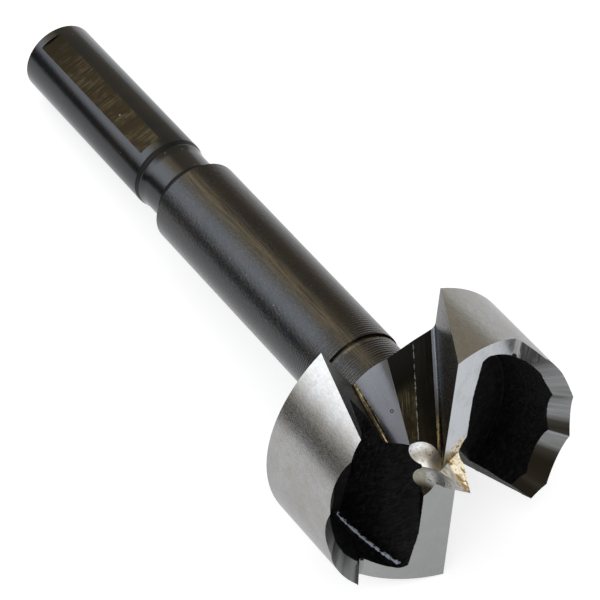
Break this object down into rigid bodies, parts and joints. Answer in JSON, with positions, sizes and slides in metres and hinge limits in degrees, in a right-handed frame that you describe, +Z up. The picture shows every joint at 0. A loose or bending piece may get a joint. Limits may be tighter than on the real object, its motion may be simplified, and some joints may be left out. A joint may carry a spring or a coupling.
{
  "type": "drill bit",
  "caption": "Hinge-boring drill bit: wide round head with wings, chip gaps, rim teeth and a centre point on a plain round shank.",
  "frame": {"origin": "centre of the bounding box at the surface that the bit lies on", "axes": "+X from the shank end towards the centre point, +Z up; the bit lies on its head's edge and its shank end"},
  "size_m": [0.0952, 0.035, 0.0344],
  "materials": {
    "ground_steel": "ground bright at the head, black oxide on the shank and in the pockets"
  },
  "bodies": {
    "root": {"boring_bit": "ground_steel"}
  },
  "joints": []
}
